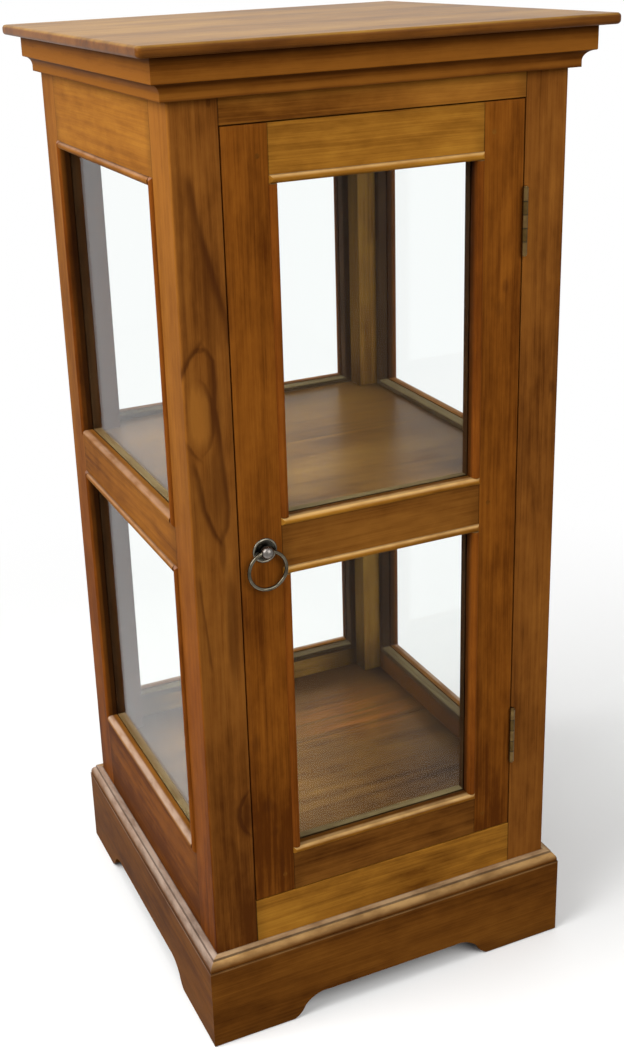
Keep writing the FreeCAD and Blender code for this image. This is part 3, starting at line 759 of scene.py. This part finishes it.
def post_shade(place, figure):
    """Painted shade on the back post: on the face that looks left and close above the two boards."""
    x, _, z = parts_of(place)
    edge = right_plane - post_width
    left = soft_step(x, edge + 1.5, edge + 0.3) * (0.45 + figure["mottle"] * 0.3)
    above_floor = soft_step(z, floor_top + 70.0, floor_top) * 0.35
    above_shelf = soft_step(z, shelf_top + 60.0, shelf_top) * soft_step(z, shelf_top - 2.0, shelf_top) * 0.25
    return left + above_floor + above_shelf


print("boards at", round(floor_top, 1), "and", round(shelf_top, 1), "mm")

# %% [markdown]
# A post is one square length of teak with its grain upright. Each gets its own place in the log, and
# only the marks that the real one shows.

# %% Posts
right_post_knots = knots(((187, 648), (4, 9), 0.4))
put_on(teak("teak_front_left_post", "post", "z", 1, hearts=[flame],
            lifts=[flame_oval, dark_foot, left_light_and_shade_post], other=("bead", shaded_side)), "front_left_post")
put_on(teak("teak_front_right_post", "post", "z", 2, hearts=[right_post_knots]),
       "front_right_post")
put_on(teak("teak_back_left_post", "post", "z", 3, lifts=[left_light_and_shade_post], dirt_and_shade=[inside_shade],
            other=("bead", shaded_side)), "back_left_post")
put_on(teak("teak_back_right_post", "post", "z", 4, dirt_and_shade=[post_shade], other=("back_post", inner_faces)),
       "back_right_post")
print("four posts")

# %% [markdown]
# The rails are short boards between the posts, with their grain level. Eleven separate finishes
# could be written out, but a loop over faces and heights keeps them alike where they should be.

# %% Rails of the case
rail_axes = {"front": "x", "back": "x", "left": "y", "right": "y"}
rail_levels = {"front": ("top", "bottom"), "left": ("top", "mid", "bottom"),
               "right": ("top", "mid", "bottom"), "back": ("top", "mid", "bottom")}
second_tones = {"left": ("stile", shaded_side), "back": ("back_post", inner_faces)}
first_rail = 10
index = first_rail
for face, levels in rail_levels.items():
    for level in levels:
        name = f"{face}_{level}_rail"
        board = "golden" if name == "front_bottom_rail" else "rail"
        dirt = joint_dirt(name, rail_axes[face], tenon_length["case"])
        painted_lights = [left_light_and_shade_rail] if face == "left" else []
        # Painted shade on the faces that look into the case.
        inner = inside_shade_back if face == "back" else inside_shade
        finish = teak(f"teak_{name}", board, rail_axes[face], index, dirt_and_shade=[dirt, inner], lifts=painted_lights,
                      other=second_tones.get(face))
        put_on(finish, name)
        index += 1
print(index - first_rail, "rails")

# %% [markdown]
# ## Door frame
# The door is made as the case is, from narrower stuff. Its top rail was cut from a more golden
# board, and its stiles are redder. A few small knots sit where the real door has them.

# %% Door frame
left_stile_knots = knots(
    ((-134, 262), (9, 12), 0.4),
    ((-142, 336), (6, 14), 0.32),
    ((-121, 188), (4, 22), 0.35),
    ((-128, 230), (5, 8), 0.25),
)
right_stile_knots = knots(
    ((133, 757), (5, 9), 0.32),
    ((126, 735), (7, 12), 0.28),
    ((136, 800), (4, 14), 0.18),
)
first_stile, first_door_rail = 31, 33
for number, (side, marks) in enumerate((("left", left_stile_knots), ("right", right_stile_knots))):
    name = f"door_{side}_stile"
    index = first_stile + number
    put_on(teak(f"teak_{name}", "stile", "z", index, hearts=[marks], lifts=[darker_below]), name)
door_boards = {"top": "golden", "mid": "dull", "bottom": "dull"}
for number, (level, board) in enumerate(door_boards.items()):
    name = f"door_{level}_rail"
    dirt = joint_dirt(name, "x", tenon_length["door"])
    put_on(teak(f"teak_{name}", board, "x", first_door_rail + number, dirt_and_shade=[dirt]), name)
print("door of five boards")

# %% [markdown]
# ## Top, cornice and plinth
# The top board and the mouldings run along their own faces. The top's face was polished more than
# the rest, and its edges darkened. The plinth is darker too, and its rounded upper edge is pale,
# partly worn by years of dusting and partly a painted highlight.

# %% Top
top_height = 1000.0


def top_edges(place, figure):
    """1 on the edges of the board, which are redder and darker than its face."""
    return soft_step(parts_of(place)[2], top_height - 1.0, top_height - 2.5)


put_on(teak("teak_top_board", "top", "x", 41, other=("plinth", top_edges), polish=0.15), "top_board")
print("top")

# %% [markdown]
# The cornice is a flat fascia over a hollow and a small lip. Painted shade lies under the top, at the
# head of the hollow and under the lip, and painted highlights lie on the lower half of the fascia and
# at the foot of the hollow, so each line reads clearly.

# %% Cornice
lip_bottom, hollow_bottom, fascia_bottom, fascia_top = 953.0, 957.5, 968.0, 990.0


def cornice_shade(place, figure):
    """Painted shade under the top, at the head of the hollow and under the lip."""
    z = parts_of(place)[2]
    under_top = soft_step(z, fascia_top - 9.0, fascia_top) * 0.55
    hollow = soft_step(z, fascia_bottom - 6.0, fascia_bottom - 1.5)
    hollow = hollow * soft_step(z, fascia_bottom + 0.6, fascia_bottom)
    under_lip = soft_step(z, lip_bottom + 1.2, lip_bottom + 0.2) * 0.5
    return under_top + hollow * 0.45 + under_lip


def cornice_highlights(place, figure):
    """Painted highlights on the lower half of the fascia and at the foot of the hollow."""
    z = parts_of(place)[2]
    fascia = soft_step(z, fascia_bottom - 0.5, fascia_bottom + 1.0)
    fascia = fascia * soft_step(z, fascia_bottom + 16.0, fascia_bottom + 5.0)
    foot = soft_step(z, hollow_bottom - 3.5, hollow_bottom - 1.5)
    foot = foot * soft_step(z, hollow_bottom + 4.0, hollow_bottom + 1.0)
    return fascia * 0.4 + foot * 0.45


def left_light_cornice(place, figure):
    """Painted light: lighter all over, on the left side."""
    return 0.2 + figure["mottle"] * 0.1


first_cornice = 42
for number, (face, axis) in enumerate((("front", "x"), ("left", "y"), ("right", "y"))):
    name = f"cornice_{face}"
    index = first_cornice + number
    painted_lights = [cornice_highlights, left_light_cornice] if face == "left" else [cornice_highlights]
    put_on(teak(f"teak_{name}", "cornice", axis, index, dirt_and_shade=[cornice_shade], lifts=painted_lights), name)
print("cornice")

# %% [markdown]
# Along its upper edge the plinth has a flat band, a fine groove and a rounded nose. The groove, the
# line under the nose, the line against the case and the foot get painted shade. The lines could be
# painted on a map of the moulding, but its four lengths lie on the four faces of the case, so a place
# is known by how far it stands out from its face.

# %% Painted shade in the grooves of the plinth
face_planes = {
    "front": (1, front_plane, -1),
    "right": (0, right_plane, 1),
    "back": (1, back_plane, 1),
    "left": (0, left_plane, -1),
}
nose_bottom, nose_top = 92.0, 102.0
band_width = 7.0


def plinth_shade(face):
    """Painted shade in the fine grooves of the moulding: behind the nose, under it, against the case, and
    low down at the foot.
    """
    axis, plane, way = face_planes[face]

    def lines(place, figure):
        numbers = parts_of(place)
        outward = (numbers[axis] - plane) * way
        high = soft_step(numbers[2], nose_top - 3.0, nose_top - 1.0)
        behind = soft_step(abs(outward - band_width), 0.8, 0.3) * high
        under = soft_step(abs(numbers[2] - nose_bottom), 1.0, 0.3)
        against = soft_step(outward, 1.6, 0.2) * high
        foot = soft_step(numbers[2], 26.0, 0.0)
        return behind * 0.5 + under * 0.5 + against * 0.5 + foot * 0.18

    return lines


print("nose from", nose_bottom, "to", nose_top, "mm")

# %% [markdown]
# The band is dusty, and the nose is rubbed down to bare wood, which is paler, so the two are told
# apart here and get a colour each. Both pale colours are also partly a painted highlight where the
# moulding catches the light. The mottling of the wood keeps them from being even.

# %% Worn and highlighted edges of the plinth
def plinth_wear_and_highlight(face):
    """Two functions: where the flat band, and where the nose and the edge under it are rubbed pale and carry
    a painted highlight.
    """
    axis, plane, way = face_planes[face]

    def on_band(place):
        outward = (parts_of(place)[axis] - plane) * way
        return soft_step(outward, band_width + 0.5, band_width)

    def band_wear_and_highlight(place, figure):
        high = soft_step(parts_of(place)[2], nose_top - 3.0, nose_top - 1.0)
        return high * on_band(place) * (soft_step(figure["mottle"], 0.3, 0.65) * 0.3 + 0.3)

    def nose_wear_and_highlight(place, figure):
        z = parts_of(place)[2]
        crown = soft_step(z, nose_bottom + 1.0, nose_top - 1.0) * (1 - on_band(place))
        edge = soft_step(z, nose_bottom - 2.5, nose_bottom - 1.0)
        edge = edge * soft_step(z, nose_bottom + 0.3, nose_bottom - 0.3)
        patches = soft_step(figure["mottle"], 0.3, 0.65) * 0.5 + 0.5
        return (crown * 0.55 + edge * 0.25) * patches

    return band_wear_and_highlight, nose_wear_and_highlight


print("band of", band_width, "mm")

# %% [markdown]
# Each length of the plinth has its grain along its own face. On the left both colours are the dusty
# one, a greyer pale that is partly bare wood gone grey and partly a painted reflection.

# %% Plinth
first_plinth = 51
for number, (face, axis) in enumerate(rail_axes.items()):
    name = f"plinth_{face}"
    index = first_plinth + number
    band_wear_and_highlight, nose_wear_and_highlight = plinth_wear_and_highlight(face)
    wear_and_highlights = [(dusty_and_lit_colour if face == "left" else faded_and_lit_colour, band_wear_and_highlight),
            (dusty_and_lit_colour if face == "left" else bare_and_lit_colour, nose_wear_and_highlight)]
    put_on(teak(f"teak_{name}", "plinth", axis, index, dirt_and_shade=[plinth_shade(face)], wear_and_highlights=wear_and_highlights), name)
print("plinth of", len(rail_axes), "lengths")

# %% [markdown]
# ## Glazing beads
# Each pane is held by four beads outside and four inside. Outside, one pair runs through and has
# rounded ends: the level pair on the door, the upright pair on the case. Inside they meet in mitres.
# One finish does for a whole frame: it looks which edge of the light is near, and lays the grain
# along that bead.

# %% Edges of the lights
light_heights = ((196.9, 518.0), (560.0, 885.1))


def bead_depths(place, axis, middle, half):
    """How far the place is from the nearer upright edge and from the nearer level edge of its light."""
    numbers = parts_of(place)
    sideways = half - abs(numbers["xyz".index(axis)] - middle)
    ups = []
    for low, high in light_heights:
        ups.append((high - low) / 2 - abs(numbers[2] - (low + high) / 2))
    return sideways, ups[0].maths("MAXIMUM", ups[0], ups[1])


print("lights from", light_heights[0][0], "to", light_heights[1][1], "mm")

# %% [markdown]
# In a corner of a light two beads meet, and the joint decides which of them a place belongs to. A
# formula of the two depths says it, one for mitres and one for each pair that runs through.

# %% Joints of the beads
bead_width = 8.0


def inner_split(sideways, upright):
    """Above 0 on a level bead, below it on an upright one, where they meet in mitres."""
    return sideways - upright


def level_split(sideways, upright):
    """The same where the level pair runs through."""
    return bead_width - upright


def upright_split(sideways, upright):
    """The same where the upright pair runs through."""
    return sideways - bead_width


print("beads", bead_width, "mm wide")

# %% [markdown]
# Now the formula is put to use. It lays the grain along each bead, draws the joints as fine dark
# lines with a painted shadow line where the level beads meet the frame, and says where the level beads
# are, which were cut from another board.

# %% Grain of the beads
def bead_pattern(axis, middle, half, split):
    """Three functions: the grain, the lines at the joints with a painted shadow line along the level beads'
    outer edge, and where the level beads are.
    """
    def grain(place, index):
        depths = bead_depths(place, axis, middle, half)
        level = depths[0].maths("GREATER_THAN", split(*depths), 0.0)
        up = along_grain(place, "z", log_place(index))
        across = along_grain(place, axis, log_place(index + 1))
        return either(level, up, across)

    def lines(place, figure):
        depths = bead_depths(place, axis, middle, half)
        joint = soft_step(abs(split(*depths)), 0.6, 0.15) * 0.4
        level = soft_step(split(*depths), -0.5, 0.5)
        # Dark joint lines, and a painted shadow line where a level bead meets the frame.
        return joint + soft_step(depths[1], 1.2, 0.2) * level * 0.55

    def lying(place, figure):
        return soft_step(split(*bead_depths(place, axis, middle, half)), -0.5, 0.5)

    return grain, lines, lying


print("the grain follows the beads")

# %% [markdown]
# Outside, the upper side of each bead is paler, partly where dusters and hands rub and partly as a
# painted highlight, and the side next to the glass has painted shade. On the case the pale part is
# less, most of all high up.

# %% Wear, highlight and shade of the outer beads
wear_and_highlight_top, wear_and_highlight_bottom = 500.0, 300.0
door_wear_and_highlight, case_wear_and_highlight = 0.4, 0.22
case_spared_above = 0.6


def behind_face(place, face):
    """How far the place lies behind the plane of its face of the case."""
    number, plane, way = face_planes[face]
    return (plane - parts_of(place)[number]) * way


def bead_shade_wear_and_highlight(face):
    """Two functions: where outer beads have painted shade, next to the glass, and where they are rubbed and
    carry a painted highlight.
    """
    on_door = face == "front"
    least = door_wear_and_highlight if on_door else case_wear_and_highlight
    spared = 0.0 if on_door else case_spared_above

    def reveal_shade(place, figure):
        upward = soft_step(facing_up(place), 0.1, 0.6)
        return soft_step(behind_face(place, face), 1.5, 6.0) * (0.65 - upward * 0.4)

    def rubbed_and_lit(place, figure):
        reached = soft_step(facing_up(place), 0.1, 0.75) * soft_step(behind_face(place, face), 5.0, 2.0)
        low_down = 1.0 - soft_step(parts_of(place)[2], wear_and_highlight_bottom, wear_and_highlight_top) * spared
        return reached * low_down * (soft_step(figure["mottle"], 0.3, 0.6) * 0.3 + least)

    return reveal_shade, rubbed_and_lit


print("outer beads are rubbed most below", wear_and_highlight_bottom, "mm")

# %% [markdown]
# Inside, no cloth reaches the beads. Dust lies on the level ones, thicker where they look up, and there it
# is also a painted highlight.

# %% Dust and painted highlight on the inner beads
def bead_dust_and_highlight(lying):
    """Dust on the level beads, with a painted highlight where they look up; the function lying tells them
    from the upright ones.
    """
    def dusty_and_lit(place, figure):
        upward = soft_step(facing_up(place), 0.1, 0.6)
        return lying(place, figure) * (upward * 0.7 + 0.15)

    return dusty_and_lit


print("inner beads are dusty on top")

# %% [markdown]
# The table gives for each frame its face, the way its level beads run, the middle and half width of
# its lights, the board of its level beads and the joint outside. The upright beads are redder.

# %% Frames of beads
first_bead = 60
lights = {
    "left": ("left", "y", 8.0, 148.0, "rail", upright_split),
    "right": ("right", "y", 8.0, 148.0, "rail", upright_split),
    "back": ("back", "x", 0.0, 151.0, "rail", upright_split),
    "door": ("front", "x", 0.0, 107.3, "golden", level_split),
}
for number, (frame_name, (face, axis, middle, half, board, split)) in enumerate(lights.items()):
    index = first_bead + number * 4
    name = f"{frame_name}_outer_beads"
    rubbed_and_lit_colour = bare_and_lit_colour if face == "front" else dusty_and_lit_colour
    grain, lines, lying = bead_pattern(axis, middle, half, split)
    reveal_shade, rubbed_and_lit = bead_shade_wear_and_highlight(face)
    finish = teak(f"teak_{name}", "bead", axis, index, dirt_and_shade=[lines, reveal_shade], wear_and_highlights=[(rubbed_and_lit_colour, rubbed_and_lit)],
                  other=(board, lying), grain=grain)
    put_on(finish, name)
    name = f"{frame_name}_inner_beads"
    grain, lines, lying = bead_pattern(axis, middle, half, inner_split)
    finish = teak(f"teak_{name}", "inner_bead", axis, index + 2, dirt_and_shade=[lines],
                  other=("dusty_and_lit", bead_dust_and_highlight(lying)), grain=grain)
    put_on(finish, name)
print(len(lights) * 2, "frames of beads")

# %% [markdown]
# ## Shelf and floor
# Both boards are glued up from two planks that run across the case. Each plank comes from another
# place in the log, and a fine dark seam runs between them. A few dark marks lie along the grain.

# %% Planks
def planks(seam):
    """The grain of two planks that run along x and meet at y = seam, and the line between them."""
    def grain(place, index):
        y = parts_of(place)[1]
        second = y.maths("GREATER_THAN", y, seam)
        hops = {"X": second * 431.0, "Y": second * 61.0, "Z": second * 37.0}
        hop = second.node("ShaderNodeCombineXYZ", None, hops)
        return vector_maths("ADD", along_grain(place, "x", log_place(index)), hop)

    def line(place, figure):
        return soft_step(abs(parts_of(place)[1] - seam), 0.9, 0.25) * 0.6

    return grain, line


print("two planks to a board")

# %% [markdown]
# Boards in a closed case get painted shade along the walls, most of all at the back. The floor also
# has a redder part in the middle and a few dark marks.

# %% Marks and painted shade on boards
board_back = 178.6


def board_marks(*places):
    """Dark marks on a level board, each with its (x, y), its half sizes and its strength."""
    def marks(place, figure):
        wander = (figure["clouds"] - 0.5) * 30.0
        return added([spot(place, wander, *mark, axes=(0, 1)) for mark in places])

    return marks


def corner_shade(back_share):
    """Painted shade along the walls, and by this share more along the back."""
    def dirt(place, figure):
        x, y, _ = parts_of(place)
        beside = right_plane - frame_thickness - abs(x)
        behind = board_back - y
        wall = beside.maths("MINIMUM", beside, behind)
        # Painted shade close to the walls, made uneven by the mottle.
        dust = soft_step(wall, 80.0, 0.0) * (0.2 + figure["mottle"] * 0.35)
        return dust + soft_step(beside, 22.0, 0.0) * 0.25 + soft_step(behind, 90.0, 30.0) * back_share

    return dirt


def red_patch(place, figure):
    """Part of the floor where the wood is redder, in streaks."""
    wander = (figure["clouds"] - 0.5) * 90.0
    streaks = soft_step(figure["fibres"], 0.3, 0.65)
    return spot(place, wander, (105, 68), (130, 75), 0.55, axes=(0, 1)) * streaks


print("boards end at", board_back, "mm")

# %% [markdown]
# The two boards differ only in their numbers, so a table holds those and a loop makes both. They are
# filled and polished. The cleats under them are plain lengths of the same teak.

# %% Shelf, floor and cleats
shelf_marks = board_marks(
    ((98, -97), (26, 9), 0.35),
    ((-32, -141), (34, 8), 0.3),
    ((150, -67), (16, 9), 0.25),
)
floor_marks = board_marks(
    ((65, 42), (36, 4), 0.5),
    ((130, -17), (34, 2), 0.4),
)
boards = {
    "shelf_board": {"index": 81, "seam": 16.0, "marks": shelf_marks, "back": 0.1, "redder": None},
    "floor_board": {"index": 85, "seam": 36.0, "marks": floor_marks, "back": 0.45,
                    "redder": ("stile", red_patch)},
}
for name, board in boards.items():
    grain, line = planks(board["seam"])
    finish = teak(
        f"teak_{name}", "inside", "x", board["index"], hearts=[board["marks"]],
        dirt_and_shade=[line, corner_shade(board["back"])], other=board["redder"], polish=filled_polish, grain=grain,
    )
    put_on(finish, name)
put_on(teak("teak_cleats", "inside", "x", 89), "board_cleats")
print(len(boards), "boards of two planks")

# %% [markdown]
# ## Glass
# The panes are old window glass: clear, with a faint green tint. A pane that refracts also throws a
# dark shadow in a path tracer unless light may pass straight through, so shadow rays see plain
# transparency in its place. The surround is white on every side, which would lie as a pale veil over
# each pane, so the glass refracts less than real glass and shows less of it.

# %% Panes
glass_tint = (0.97, 0.985, 0.98, 1.0)
shadow_tint = (0.96, 0.98, 0.97, 1.0)
glass_bend = 1.14

glass, glass_shader, glass_place = new_finish("clear_glass")
glass_shader.inputs["Base Color"].default_value = glass_tint
glass_shader.inputs["Roughness"].default_value = 0.01
glass_shader.inputs["Transmission Weight"].default_value = 1.0
glass_shader.inputs["IOR"].default_value = glass_bend
shadow = glass_place.node("ShaderNodeLightPath", None, None, "Is Shadow Ray")
open_way = glass_place.node("ShaderNodeBsdfTransparent", None, {"Color": shadow_tint})
pane = glass_place.node(
    "ShaderNodeMixShader", None,
    {0: shadow, 1: Shade(glass.node_tree, glass_shader.outputs[0]), 2: open_way},
)
fill(glass.node_tree, glass.node_tree.nodes["Material Output"], {"Surface": pane})
panes = [name for name in nodes if name.endswith("_glass")]
put_on(glass, *panes)
print(len(panes), "panes")

# %% [markdown]
# ## Metal
# The hinges are brass that has gone dull, and the ring pull is brass finished dark. Old brass is
# never quite even: a broad noise gives soft patches and a fine one the grain of the casting.

# %% Metals
soot_colour = paint(29, 28, 23)


def metal(name, dark, bright, gloss, dirt=None):
    """Aged metal between two screen colours; dirt says where it is soiled, nearly black."""
    material, shader, place = new_finish(name)
    patches = soft_step(noise(place, (0.1, 0.1, 0.1), 3.0, 0.55), 0.25, 0.75)
    grit = noise(place, (1.6, 1.6, 1.6), 2.0, 0.6)
    share = patches * 0.75 + grit * 0.25
    colour = mixed(share, paint(*dark), paint(*bright))
    if dirt:
        colour = mixed(dirt(place), colour, soot_colour)
    relief = {"Strength": 0.05, "Distance": 0.0003, "Height": grit}
    normal = grit.node("ShaderNodeBump", None, relief, "Normal")
    settings = {"Base Color": colour, "Roughness": gloss + 0.1 - share * 0.2, "Normal": normal}
    fill(material.node_tree, shader, settings)
    shader.inputs["Metallic"].default_value = 1.0
    return material


print("soot is", [round(amount, 3) for amount in soot_colour[:3]])

# %% [markdown]
# Dirt stays where no finger or cloth reaches, which is in the rosette's dish and between the
# knuckles of the hinges. The dish is found from the rosette's own box.

# %% Dirt on the metal
rosette_low, rosette_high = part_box("handle_rosette")
pull_place = [(low + high) * 500 for low, high in zip(rosette_low, rosette_high)]
dish_share = 0.82
dish_radius = (rosette_high[0] - rosette_low[0]) * 500 * dish_share
knuckle_count = 5
knuckle_length = 63.5 / knuckle_count
hinge_feet = (233.5, 785.0)


def dish_dirt(place):
    """Dark in the rosette's dish, clean on its rim."""
    x, _, z = parts_of(place)
    across, up = x - pull_place[0], z - pull_place[2]
    return soft_step((across * across + up * up) ** 0.5, dish_radius, dish_radius - 1.2) * 0.92


def knuckle_dirt(place):
    """Dark lines between the knuckles of both hinges."""
    z = parts_of(place)[2]
    lines = []
    for foot in hinge_feet:
        for number in range(1, knuckle_count):
            lines.append(soft_step(abs(z - (foot + number * knuckle_length)), 0.7, 0.25))
    return added(lines) * 0.8


print("the pull sits at", [round(number, 1) for number in pull_place])

# %% [markdown]
# One metal for all would be simpler, but on the real cabinet they differ: the door's half of a hinge
# is duller than the fixed half, and the ball of the pull is rubbed greyer than the ring.

# %% Hinges, pull and screws
brass = metal("aged_brass", (84, 64, 36), (112, 90, 54), 0.34, knuckle_dirt)
dull_brass = metal("dull_brass", (62, 47, 24), (92, 72, 38), 0.4, knuckle_dirt)
bronze = metal("dark_bronze", (54, 50, 41), (108, 101, 86), 0.2)
rubbed_bronze = metal("rubbed_bronze", (78, 74, 70), (126, 120, 114), 0.3)
dished_bronze = metal("dished_bronze", (70, 66, 58), (126, 120, 106), 0.2, dish_dirt)
steel = metal("steel", (120, 118, 114), (170, 168, 164), 0.34)
put_on(brass, "hinge_frame_leaves", "hinge_pins", "frame_hinge_screws", "door_hinge_screws")
put_on(dull_brass, "hinge_door_leaves")
put_on(bronze, "handle_ring")
put_on(rubbed_bronze, "handle_post")
put_on(dished_bronze, "handle_rosette")
put_on(steel, "strike_plate", "case_screws", "handle_nut")
print("six finishes of metal")

# %% [markdown]
# The tenons of the door are held by small pegs of darker teak. Behind the door sits a plain catch in
# a brown plastic case, which is moulded with a fine grain so that it doesn't shine.

# %% Pegs and catch
put_on(teak("teak_pegs", "plinth", "y", 91), "door_pegs")
catch, catch_shader, catch_place = new_finish("catch_plastic")
grit = noise(catch_place, (2.0, 2.0, 2.0), 2.0)
catch_relief = {"Strength": 0.1, "Distance": 0.0002, "Height": grit}
catch_normal = grit.node("ShaderNodeBump", None, catch_relief, "Normal")
catch_colour = mixed(grit, paint(70, 48, 34), paint(92, 66, 48))
fill(catch.node_tree, catch_shader, {"Base Color": catch_colour, "Normal": catch_normal})
catch_shader.inputs["Roughness"].default_value = 0.5
put_on(catch, "catch_case")
print("pegs and catch")
